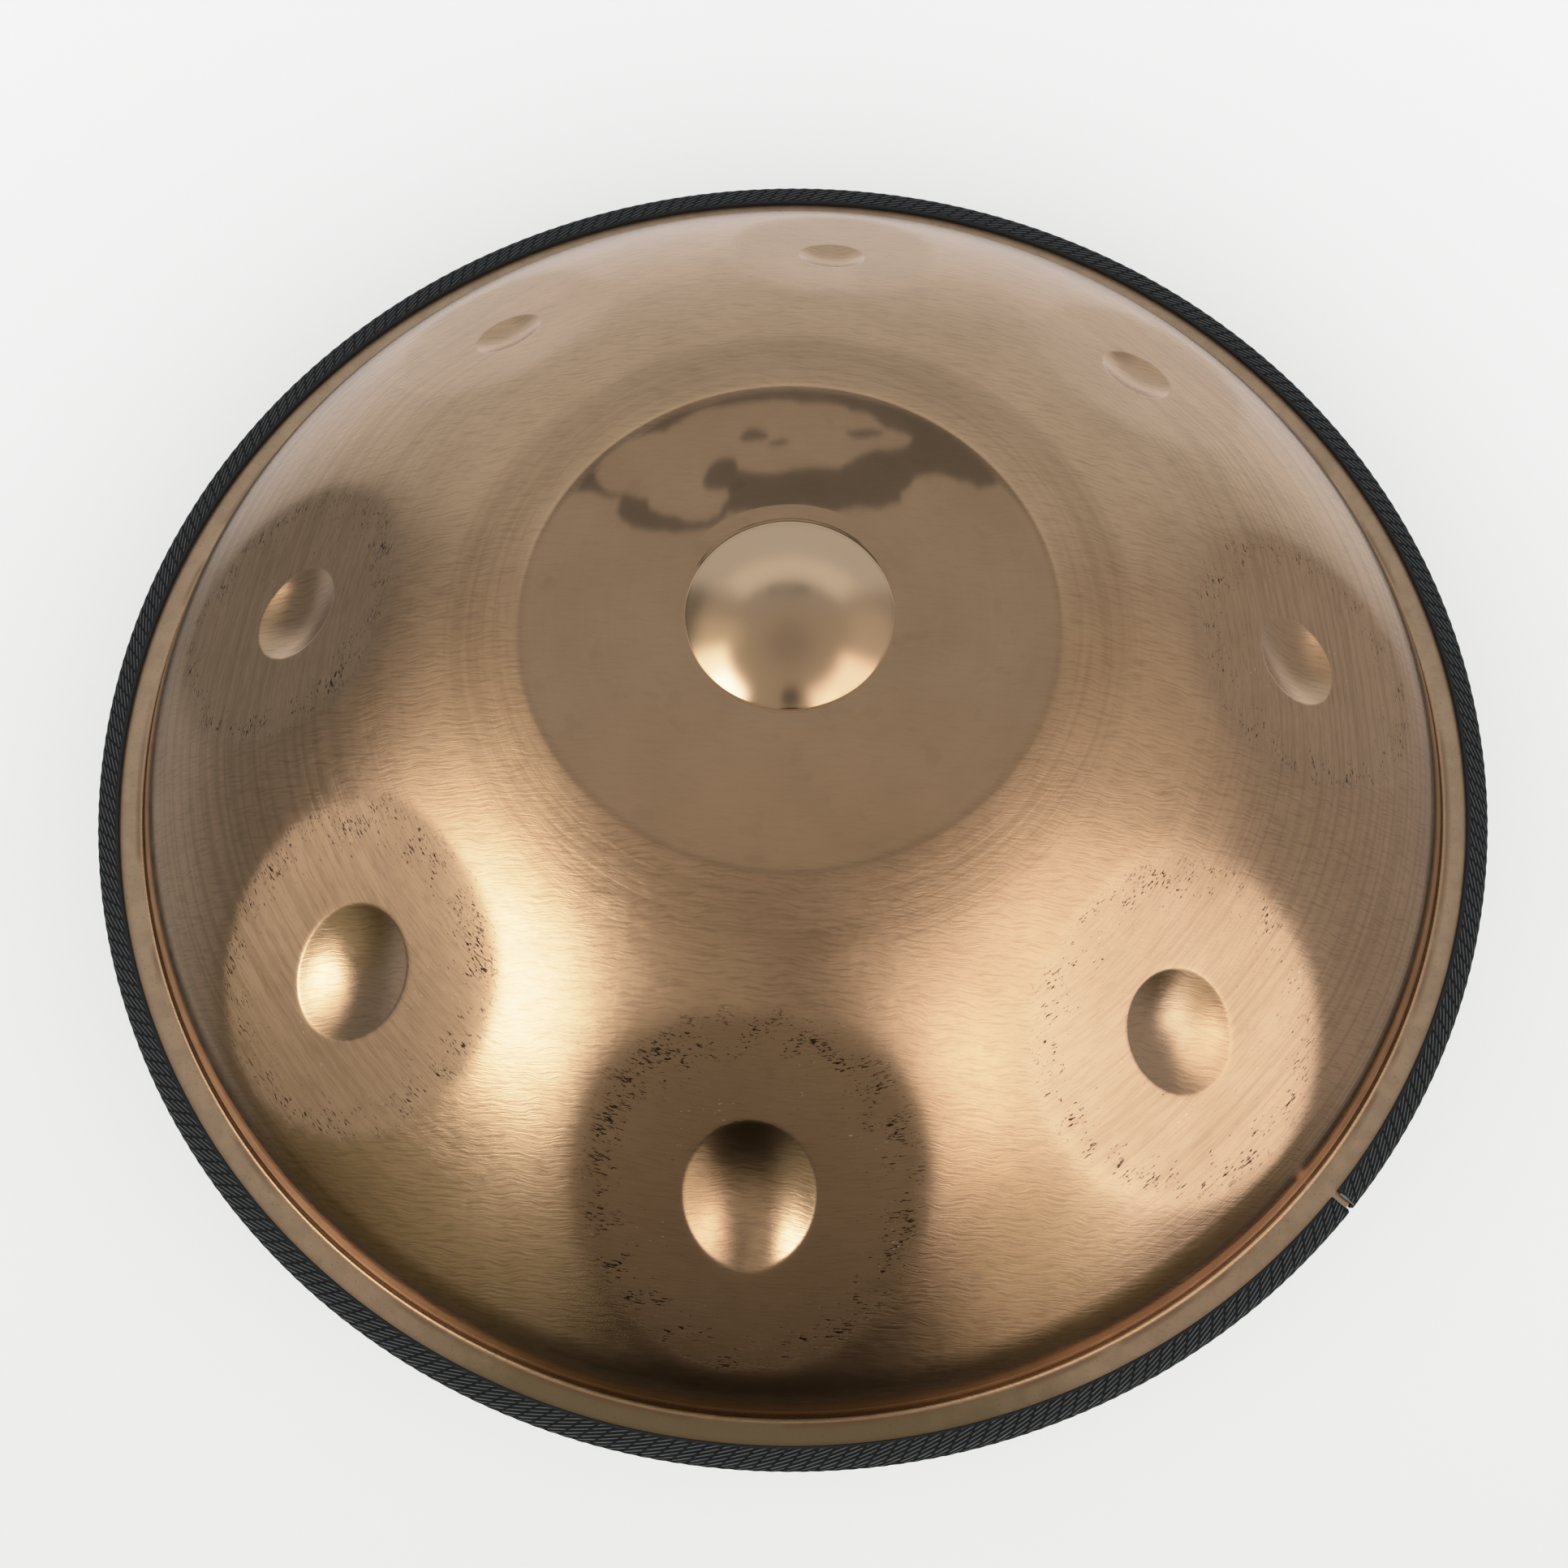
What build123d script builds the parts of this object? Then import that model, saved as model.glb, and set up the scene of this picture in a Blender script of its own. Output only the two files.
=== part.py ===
"""Handpan: a closed steel vessel of two pressed shells, glued flange to flange.

The top shell carries the ding (a raised centre dome on a flat disc) and eight hammered tone
fields, each with a pressed-in dimple. The bottom shell has a flat resting ring and the gu, a
port whose neck is rolled inward. A U-shaped edge trim with a steel clamp strip inside it is
pushed over the two flanges; its two ends meet at a small gap.

Frame: millimetres, +Z up, origin at the centre of the resting face. The lowest note, which has
the largest field, lies at -Y. Angles of the other notes run anticlockwise from it, seen from
above.
"""
from build123d import *
from math import atan2, cos, degrees, radians, sin, sqrt
import os

# ---- sheet and pressing, shared by both shells --------------------------------------------
wall = 1.2                  # sheet thickness
cap_radius = 326.0          # large radius of the pressed cap
cap_centre = -184.0         # its centre, below the outer face of the flange
shoulder_radius = 58.0      # tighter radius that turns the cap down into the side wall
shoulder_slope = 49.7       # slope, in degrees, where the shoulder takes over from the cap
root_fillet = 2.5           # small concave radius between side wall and flange
flange_radius = 278.0
disc_radius = 98.0          # edge of the flattened centre of each shell
glue_gap = 0.8              # adhesive between the two flanges
glue_setback = 0.4          # from the flanges' outer edge to the adhesive
glue_start = 0.5            # from the root of the wall to the adhesive

# ---- ding ---------------------------------------------------------------------------------
crown_height = 2.5          # how far the top disc rises from its edge to its centre
ding_radius = 36.75
ding_height = 10.7

# ---- tone fields ----------------------------------------------------------------------------
# angle from the lowest note, half width, half length, then the dimple's half width, half length
# and shift from the field's centre up the slope
tone_fields = [
    (0.0, 62.0, 71.0, 23.8, 29.0, 0.0),
    (49.7, 60.0, 65.0, 20.8, 25.5, 2.0),
    (96.6, 51.5, 60.5, 18.0, 20.0, 7.0),
    (138.5, 45.0, 54.0, 15.0, 17.5, 6.5),
    (179.1, 42.5, 51.0, 13.7, 15.0, 8.5),
    (220.5, 45.0, 52.0, 14.2, 15.5, 8.5),
    (265.3, 55.0, 61.0, 19.7, 21.5, 7.0),
    (309.8, 60.0, 67.5, 23.0, 28.5, 1.5),
]
field_slope = 38.0          # slope of the cap at every field's centre, in degrees
dimple_depth_share = 0.23   # depth over half width

# ---- gu -----------------------------------------------------------------------------------
port_radius = 50.0
port_roll = 12.0            # radius of the rolled-in mouth
neck_height = 27.0          # top of the neck above the resting face
lip_rounding = 0.4 * wall   # on both sides of the neck's cut edge

# ---- edge trim ----------------------------------------------------------------------------
trim_radius = 280.0
trim_width = 8.5
trim_leg = 2.3              # rubber over and under the flanges
trim_rounding = 1.6
trim_gap = 2.4              # between the trim's two ends
trim_gap_angle = -37.1      # where the ends meet, from +X
clamp_sheet = 0.5
clamp_depth = 0.8           # rubber between the clamp strip and the flanges
clamp_setback = 1.6         # from the trim's inner edge to the strip's edges

# ---- cutting tools ------------------------------------------------------------------------
cut_margin = 15.0           # how far a flattening cut reaches past the patch that it flattens
cut_height = 30.0
skirt = 5.0                 # how far a body that hollows a shell reaches past the flange
tolerance = 0.01

# ---- worked out ---------------------------------------------------------------------------
disc_height = sqrt(cap_radius**2 - disc_radius**2) + cap_centre
lower_flange = disc_height                      # outer face of the bottom shell's flange
upper_flange = lower_flange + 2 * wall + glue_gap
rim_middle = (lower_flange + upper_flange) / 2

shoulder_step = cap_radius - shoulder_radius
shoulder_x = shoulder_step * sin(radians(shoulder_slope))
shoulder_y = cap_centre + shoulder_step * cos(radians(shoulder_slope))
root_y = root_fillet
root_reach = shoulder_radius + root_fillet
root_x = shoulder_x + sqrt(root_reach**2 - (root_y - shoulder_y) ** 2)
root_angle = degrees(atan2(root_y - shoulder_y, root_x - shoulder_x))

crown_radius = (disc_radius**2 + crown_height**2) / (2 * crown_height)
ding_ball = (ding_radius**2 + ding_height**2) / (2 * ding_height)

# Section planes: x runs outward, y runs away from the flange, up for the top shell.
top_section = Plane(origin=(0, 0, upper_flange), x_dir=(1, 0, 0), z_dir=(0, -1, 0))
bottom_section = Plane(origin=(0, 0, lower_flange), x_dir=(1, 0, 0), z_dir=(0, 1, 0))


def pressed_body(section, inset):
    """The filled vessel under a skin that lies `inset` inside the outer face of the sheet."""
    with BuildPart() as body:
        with BuildSketch(section):
            with BuildLine():
                cap = CenterArc((0, cap_centre), cap_radius - inset, 90, -shoulder_slope)
                CenterArc(
                    (shoulder_x, shoulder_y),
                    shoulder_radius - inset,
                    90 - shoulder_slope,
                    shoulder_slope + root_angle - 90,
                )
                root = CenterArc(
                    (root_x, root_y), root_fillet + inset, 180 + root_angle, 90 - root_angle
                )
                if inset == 0:
                    rim_top = (flange_radius, 0)
                    rim_bottom = (flange_radius, -wall)
                    Polyline(root @ 1, rim_top, rim_bottom, (0, -wall), cap @ 0)
                else:
                    floor = -wall - skirt
                    Polyline(root @ 1, (root_x, floor), (0, floor), cap @ 0)
            make_face()
        revolve(axis=Axis.Z)
    return body.part


def field_plane(angle, half_width, half_length):
    """The plane of one flattened tone field: x along the rim, y up the slope, z outward."""
    slope = radians(field_slope)
    turn = radians(angle - 90)
    outward = Vector(cos(turn) * sin(slope), sin(turn) * sin(slope), cos(slope))
    along_rim = Vector(-sin(turn), cos(turn), 0)
    flat_radius = sqrt(half_width * half_length)
    reach = sqrt(cap_radius**2 - flat_radius**2)
    centre = Vector(0, 0, upper_flange + cap_centre) + outward * reach
    return Plane(origin=centre, x_dir=along_rim, z_dir=outward)


def dimple_tool(plane, half_width, half_length, shift, inset):
    """The stretched ball whose lower side presses one dimple into a tone field."""
    depth = half_width * dimple_depth_share
    ball = (half_width**2 + depth**2) / (2 * depth)
    stretch = half_length / half_width
    lift = ball - depth
    middle = plane.origin + plane.y_dir * shift + plane.z_dir * lift
    upright = Plane(origin=middle, x_dir=plane.x_dir, z_dir=plane.z_dir)
    with BuildPart() as tool:
        with BuildSketch(upright):
            Ellipse(ball + inset, ball * stretch + inset)
            Rectangle(
                2 * ball, 4 * ball, align=(Align.MAX, Align.CENTER), mode=Mode.SUBTRACT
            )
        revolve(axis=Axis(middle, plane.y_dir))
    return tool.part


def top_body(inset):
    """The filled top half, with its disc, ding, tone fields and dimples, under one skin."""
    crown_top = upper_flange + disc_height + crown_height
    with BuildPart() as body:
        add(pressed_body(top_section, inset))
        with Locations((0, 0, crown_top - crown_radius)):
            Sphere(crown_radius - inset, mode=Mode.INTERSECT)
        with Locations((0, 0, crown_top + ding_height - ding_ball)):
            Sphere(ding_ball - inset)
        for angle, half_width, half_length, *dimple in tone_fields:
            plane = field_plane(angle, half_width, half_length)
            with Locations(plane.offset(-inset)):
                Cylinder(
                    radius=half_length + cut_margin,
                    height=cut_height,
                    align=(Align.CENTER, Align.CENTER, Align.MIN),
                    mode=Mode.SUBTRACT,
                )
            add(dimple_tool(plane, *dimple, inset), mode=Mode.SUBTRACT)
    return body.part


# ---- top shell ----------------------------------------------------------------------------
with BuildPart() as top_shell:
    add(top_body(0))
    add(top_body(wall), mode=Mode.SUBTRACT)
top_shell.part.label = "top_shell"

# ---- bottom shell -------------------------------------------------------------------------
mouth_radius = port_radius + port_roll


def flattened_bottom(inset):
    """The filled bottom half, cut flat where it rests."""
    with BuildPart() as body:
        add(pressed_body(bottom_section, inset))
        with Locations((0, 0, inset)):
            Cylinder(
                radius=disc_radius + cut_margin,
                height=cut_height,
                align=(Align.CENTER, Align.CENTER, Align.MAX),
                mode=Mode.SUBTRACT,
            )
    return body.part


with BuildPart() as bottom_shell:
    add(flattened_bottom(0))
    add(flattened_bottom(wall), mode=Mode.SUBTRACT)
    Cylinder(radius=mouth_radius, height=cut_height, mode=Mode.SUBTRACT)
    with BuildSketch(Plane.XZ):
        with BuildLine():
            mouth = CenterArc((mouth_radius, port_roll), port_roll, 270, -90)
            throat = CenterArc((mouth_radius, port_roll), port_roll - wall, 180, 90)
            hole_side = Line(mouth @ 1, (port_radius, neck_height))
            lip = Line(hole_side @ 1, (port_radius + wall, neck_height))
            Line(lip @ 1, throat @ 0)
            Line(throat @ 1, mouth @ 0)
        make_face()
    revolve(axis=Axis.Z)
    lip_edges = bottom_shell.edges().filter_by_position(
        Axis.Z, neck_height - tolerance, neck_height + tolerance
    )
    fillet(lip_edges, lip_rounding)
bottom_shell.part.label = "bottom_shell"

# ---- adhesive between the flanges ----------------------------------------------------------
with BuildPart() as rim_adhesive:
    with BuildSketch(Plane.XY.offset(lower_flange + wall)):
        Circle(flange_radius - glue_setback)
        Circle(root_x + glue_start, mode=Mode.SUBTRACT)
    extrude(amount=glue_gap)
rim_adhesive.part.label = "rim_adhesive"

# ---- edge trim and its clamp strip ----------------------------------------------------------
gap_turn = degrees(trim_gap / trim_radius)
gap_start = radians(trim_gap_angle + gap_turn / 2)
trim_section = Plane(
    origin=(0, 0, rim_middle),
    x_dir=(cos(gap_start), sin(gap_start), 0),
    z_dir=(sin(gap_start), -cos(gap_start), 0),
)
slot_height = upper_flange - lower_flange
trim_height = slot_height + 2 * trim_leg
trim_inner = trim_radius - trim_width
clamp_inner = trim_inner + clamp_setback
clamp_outer = flange_radius + clamp_depth + clamp_sheet
clamp_height = slot_height + 2 * clamp_depth + 2 * clamp_sheet

with BuildPart() as trim_clamp_strip:
    with BuildSketch(trim_section):
        with Locations(((clamp_inner + clamp_outer) / 2, 0)):
            Rectangle(clamp_outer - clamp_inner, clamp_height)
        with Locations((clamp_inner, 0)):
            Rectangle(
                2 * (clamp_outer - clamp_sheet - clamp_inner),
                clamp_height - 2 * clamp_sheet,
                mode=Mode.SUBTRACT,
            )
    revolve(axis=Axis.Z, revolution_arc=360 - gap_turn)
trim_clamp_strip.part.label = "trim_clamp_strip"

with BuildPart() as edge_trim:
    with BuildSketch(trim_section):
        with Locations((trim_radius - trim_width / 2, 0)):
            RectangleRounded(trim_width, trim_height, trim_rounding)
        with Locations((trim_inner, 0)):
            Rectangle(
                2 * (flange_radius - trim_inner), slot_height, mode=Mode.SUBTRACT
            )
    revolve(axis=Axis.Z, revolution_arc=360 - gap_turn)
    add(trim_clamp_strip.part, mode=Mode.SUBTRACT)
edge_trim.part.label = "edge_trim"

os.makedirs("parts", exist_ok=True)
for piece in (top_shell, bottom_shell, rim_adhesive, edge_trim, trim_clamp_strip):
    export_step(piece.part, "parts/" + piece.part.label + ".step")
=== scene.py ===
"""The looks of the handpan: brushed bronze-coloured steel, a black edge trim and a pale studio.

The shape functions work in millimetres, with heights taken from the rim's middle plane, and a
mesh is turned into metres when it is made. Angles of the tone fields run anticlockwise from the
lowest note, which lies at -Y. The shells follow the section of the CAD: a large cap, a tighter
shoulder, a small concave fillet and a flat flange.
"""

from math import atan2, cos, pi, radians, sin, sqrt

import bmesh
import bpy
import numpy as np
from mathutils import Matrix, Vector


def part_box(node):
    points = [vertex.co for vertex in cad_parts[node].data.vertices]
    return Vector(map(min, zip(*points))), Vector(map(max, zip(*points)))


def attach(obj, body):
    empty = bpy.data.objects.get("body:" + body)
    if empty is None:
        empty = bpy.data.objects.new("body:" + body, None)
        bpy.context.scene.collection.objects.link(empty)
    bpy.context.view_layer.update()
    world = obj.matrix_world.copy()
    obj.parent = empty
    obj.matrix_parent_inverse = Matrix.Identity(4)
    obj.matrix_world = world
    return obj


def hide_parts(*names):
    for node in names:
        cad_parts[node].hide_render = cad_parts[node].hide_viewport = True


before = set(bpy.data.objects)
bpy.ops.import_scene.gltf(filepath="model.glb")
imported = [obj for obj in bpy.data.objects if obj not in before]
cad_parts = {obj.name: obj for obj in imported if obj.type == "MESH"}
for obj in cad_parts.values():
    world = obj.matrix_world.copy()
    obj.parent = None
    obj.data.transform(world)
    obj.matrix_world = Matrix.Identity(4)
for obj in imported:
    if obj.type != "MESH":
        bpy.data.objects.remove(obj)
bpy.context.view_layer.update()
MM = 0.001

# ---- sizes read from the frame -----------------------------------------------------------------
trim_low, trim_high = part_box("edge_trim")
top_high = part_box("top_shell")[1]
glue_low, glue_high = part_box("rim_adhesive")
rim_middle = (trim_low.z + trim_high.z) / 2 / MM
trim_radius = trim_high.x / MM
trim_top = (trim_high.z - trim_low.z) / 2 / MM
flange_radius = top_high.x / MM
glue_half = (glue_high.z - glue_low.z) / 2 / MM

# ---- sizes shared with the CAD -----------------------------------------------------------------
wall = 1.2
flange_face = glue_half + wall          # outer face of a flange
cap_radius = 326.0
cap_centre = flange_face - 184.0
shoulder_radius = 58.0
shoulder_slope = radians(49.7)          # where the cap turns into the shoulder
root_fillet = 2.5
disc_radius = 98.0
crown_height = 2.5                      # of the disc's own slight dome
ding_radius = 36.75
ding_height = 10.7
port_radius = 50.0
port_roll = 12.0
neck_height = 27.0
trim_width = 8.5
trim_gap_angle = radians(-37.1)
field_slope = radians(38.0)             # of the cap at the fields' middles
dimple_depth_share = 0.23               # of the dimple's half width

# ---- sizes of the looks alone ------------------------------------------------------------------
trim_gap = 3.6                          # the trim's ends stand farther apart than in the CAD
trim_group = 5.9                        # length of one leaning group of the trim's weave
weave_lean = 0.9                        # how far a group leans, per millimetre across the trim
smooth_strip = 2.4                      # from the trim's inner lip to where its weave begins
weave_wave = 0.10                       # height of the low wave under the weave
weave_sink = 0.06                       # how far the wave's middle lies below the plain section
notch_depth = 0.8                       # of the hollow in one cut end of the trim
notch_width = 2.2
notch_reach = 1.5                       # how far along the trim the hollow dies out
moat_depth = 0.1                        # of the shallow groove round the ding
moat_offset = 2.6
moat_width = 1.8

# how rounded an edge is: in millimetres for the disc and the ding, and as a share of the oval's
# own rise for dimples and fields
disc_edge_softness = 0.15
ding_edge_softness = 0.12
dimple_edge_softness = 0.05
field_edge_softness = 0.24
hammered_sharpening = 0.07              # how much crisper full hammering makes a field's edge

far_out = 3.0                           # a ring value beyond every field and dimple

# angle, half width, half length, the dimple's half width, half length and shift up the slope,
# and how strongly hammering has pitted the field
tone_fields = [
    (0.0, 62.0, 71.0, 23.8, 29.0, 0.0, 1.0),
    (49.7, 60.0, 65.0, 20.8, 25.5, 2.0, 0.75),
    (96.6, 51.5, 60.5, 18.0, 20.0, 7.0, 0.8),
    (138.5, 45.0, 54.0, 15.0, 17.5, 6.5, 0.15),
    (179.1, 42.5, 51.0, 13.7, 15.0, 8.5, 0.1),
    (220.5, 45.0, 52.0, 14.2, 15.5, 8.5, 0.1),
    (265.3, 55.0, 61.0, 19.7, 21.5, 7.0, 0.9),
    (309.8, 60.0, 67.5, 23.0, 28.5, 1.5, 0.9),
]

# ---- the section, worked out -------------------------------------------------------------------
shoulder_x = (cap_radius - shoulder_radius) * sin(shoulder_slope)
shoulder_z = cap_centre + (cap_radius - shoulder_radius) * cos(shoulder_slope)
root_z = flange_face + root_fillet
root_x = shoulder_x + sqrt((shoulder_radius + root_fillet) ** 2 - (root_z - shoulder_z) ** 2)
root_slope = pi / 2 - atan2(root_z - shoulder_z, root_x - shoulder_x)

cap_run = cap_radius * shoulder_slope
shoulder_run = cap_run + shoulder_radius * (root_slope - shoulder_slope)
fillet_run = shoulder_run + root_fillet * root_slope
rim_run = fillet_run + flange_radius - root_x

disc_height = cap_centre + sqrt(cap_radius**2 - disc_radius**2)
crown_top = disc_height + crown_height
ding_ball = (ding_radius**2 + ding_height**2) / (2 * ding_height)


def section(run):
    """Radius, height and slope of the outer face, `run` along the section from the axis."""
    zones = [run < cap_run, run < shoulder_run, run < fillet_run]
    on_cap = run / cap_radius
    on_shoulder = shoulder_slope + (run - cap_run) / shoulder_radius
    on_fillet = root_slope - (run - shoulder_run) / root_fillet
    slope = np.select(zones, [on_cap, on_shoulder, on_fillet], 0.0)
    radius = np.select(
        zones,
        [
            cap_radius * np.sin(slope),
            shoulder_x + shoulder_radius * np.sin(slope),
            root_x - root_fillet * np.sin(slope),
        ],
        root_x + run - fillet_run,
    )
    height = np.select(
        zones,
        [
            cap_centre + cap_radius * np.cos(slope),
            shoulder_z + shoulder_radius * np.cos(slope),
            root_z - root_fillet * np.cos(slope),
        ],
        flange_face,
    )
    return radius, height, slope


def soft_rise(value, softness):
    """The larger of value and nought, with its corner rounded off."""
    return 0.5 * (value + np.sqrt(value**2 + softness**2))


def soft_min(a, b, softness):
    return a - soft_rise(a - b, softness)


def field_places(flat_x, flat_y):
    """For each field, where a point of the flat sheet lies: across the field and up its length."""
    run = np.hypot(flat_x, flat_y)
    radius = section(run)[0]
    azimuth = np.arctan2(flat_y, flat_x)
    for angle, *sizes in tone_fields:
        turn = (azimuth - radians(angle - 90) + pi) % (2 * pi) - pi
        yield radius * turn, run - cap_radius * field_slope, sizes


def inside_oval(across, along, half_width, half_length):
    """One in an oval's middle, nought on its edge and less outside it."""
    return 1 - (across / half_width) ** 2 - (along / half_length) ** 2


def top_surface(flat_x, flat_y):
    """Maps points of the flat sheet onto the top shell's outer face."""
    run = np.hypot(flat_x, flat_y)
    away = np.maximum(run, 1e-6)
    radius, height, slope = section(run)

    crown = crown_top - crown_height * (radius / disc_radius) ** 2
    flattened = soft_min(height, crown, disc_edge_softness)
    height = np.where(radius < 1.5 * disc_radius, flattened, height)
    moat = moat_depth * np.exp(-(((radius - ding_radius - moat_offset) / moat_width) ** 2))
    ball_reach = np.minimum(radius, 0.98 * ding_ball)
    ball = crown_top + ding_height - ding_ball + np.sqrt(ding_ball**2 - ball_reach**2)
    raised = ball + soft_rise(height - moat - ball, ding_edge_softness)
    height = np.where(radius < 1.7 * ding_radius, raised, height)

    sunk = np.zeros_like(run)
    for across, along, sizes in field_places(flat_x, flat_y):
        half_width, half_length, dimple_width, dimple_length, shift, pits = sizes
        flat_depth = half_width * half_length / (2 * cap_radius)
        border_softness = field_edge_softness - hammered_sharpening * pits
        inside = inside_oval(across, along, half_width, half_length)
        sunk += flat_depth * soft_rise(inside, border_softness)
        dimple_depth = dimple_depth_share * dimple_width
        inside = inside_oval(across, along + shift, dimple_width, dimple_length)
        sunk += dimple_depth * soft_rise(inside, dimple_edge_softness)
    radius = radius - sunk * np.sin(slope)
    height = height - sunk * np.cos(slope)
    return np.stack([radius * flat_x / away, radius * flat_y / away, height], -1)


def top_normals(flat_x, flat_y):
    """Unit normals of the top shell's outer face, from small steps along the sheet."""
    step = 0.12
    along_x = top_surface(flat_x + step, flat_y) - top_surface(flat_x - step, flat_y)
    along_y = top_surface(flat_x, flat_y + step) - top_surface(flat_x, flat_y - step)
    normals = np.cross(along_x, along_y)
    return normals / np.linalg.norm(normals, axis=-1, keepdims=True)


def ring_value(across, along, half_width, half_length):
    """Nought at an ellipse's middle and one on its edge."""
    return np.sqrt((across / half_width) ** 2 + (along / half_length) ** 2)


def top_marks(flat_x, flat_y):
    """What the steel's material needs to know: how far out in its field and dimple a point lies."""
    field_ring = np.full(flat_x.shape, far_out)
    dimple_ring = np.full(flat_x.shape, far_out)
    pitting = np.zeros(flat_x.shape)
    for across, along, sizes in field_places(flat_x, flat_y):
        half_width, half_length, dimple_width, dimple_length, shift, pits = sizes
        ring = ring_value(across, along, half_width, half_length)
        pitting = np.where(ring < field_ring, pits, pitting)
        field_ring = np.minimum(field_ring, ring)
        ring = ring_value(across, along + shift, dimple_width, dimple_length)
        dimple_ring = np.minimum(dimple_ring, ring)
    return {"field_ring": field_ring, "dimple_ring": dimple_ring, "pitting": pitting}


# ---- mesh making -------------------------------------------------------------------------------
def spread(*stops):
    """Numbers from the first stop to the last, in even steps. The stops alternate with the size
    of the steps between them."""
    values = [stops[0]]
    for step, end in zip(stops[1::2], stops[2::2]):
        count = max(1, round((end - values[-1]) / step))
        values += list(np.linspace(values[-1], end, count + 1)[1:])
    return values


def flat_net(runs, steps):
    """A flat polar net, in which a point's distance from the middle is its run."""
    net = bmesh.new()
    turns = np.linspace(0, 2 * pi, steps, endpoint=False)
    rings = []
    for run in runs:
        rings.append([net.verts.new((run * cos(t), run * sin(t), 0)) for t in turns])
    middle = net.verts.new((0, 0, 0))
    for k in range(steps):
        after = (k + 1) % steps
        net.faces.new((middle, rings[0][k], rings[0][after]))
        for inner, outer in zip(rings, rings[1:]):
            net.faces.new((inner[k], outer[k], outer[after], inner[after]))
    return net


def refine(net, is_fine):
    """Halves the net's faces where is_fine says so of their middles."""
    middles = np.array([face.calc_center_median() for face in net.faces])
    chosen = is_fine(middles[:, 0], middles[:, 1])
    edges = {edge for face, fine in zip(net.faces, chosen) if fine for edge in face.edges}
    bmesh.ops.subdivide_edges(net, edges=list(edges), cuts=1, use_grid_fill=True)


def net_arrays(net):
    """The net's flat points, its triangles and its outermost ring, in order round the rim."""
    bmesh.ops.triangulate(net, faces=net.faces[:])
    net.verts.index_update()
    flat = np.array([vertex.co[:2] for vertex in net.verts], float)
    faces = np.array([[v.index for v in face.verts] for face in net.faces])
    rim = [v.index for v in net.verts if v.is_boundary]
    rim.sort(key=lambda index: atan2(flat[index][1], flat[index][0]))
    net.free()
    return flat, faces, rim


def new_piece(name, points, faces, material, normals=None, marks=None):
    """A mesh object from points in millimetres above the rim's middle plane."""
    mesh = bpy.data.meshes.new(name)
    placed = np.array(points, float) + np.array([0, 0, rim_middle])
    mesh.from_pydata((placed * MM).tolist(), [], [list(face) for face in faces])
    for key, values in (marks or {}).items():
        kind = "FLOAT_VECTOR" if values.ndim == 2 else "FLOAT"
        attribute = mesh.attributes.new(key, kind, "POINT")
        slot = "vector" if values.ndim == 2 else "value"
        attribute.data.foreach_set(slot, values.astype(np.float32).ravel())
    mesh.polygons.foreach_set("use_smooth", [True] * len(mesh.polygons))
    mesh.materials.append(material)
    mesh.validate()
    if normals is not None:
        mesh.normals_split_custom_set_from_vertices(normals.tolist())
    piece = bpy.data.objects.new(name, mesh)
    bpy.context.scene.collection.objects.link(piece)
    return piece


def stand_for(piece, node):
    """The piece takes a CAD node's place: the node is hidden and the piece hangs from the root
    body.
    """
    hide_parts(node)
    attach(piece, "root")


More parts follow.
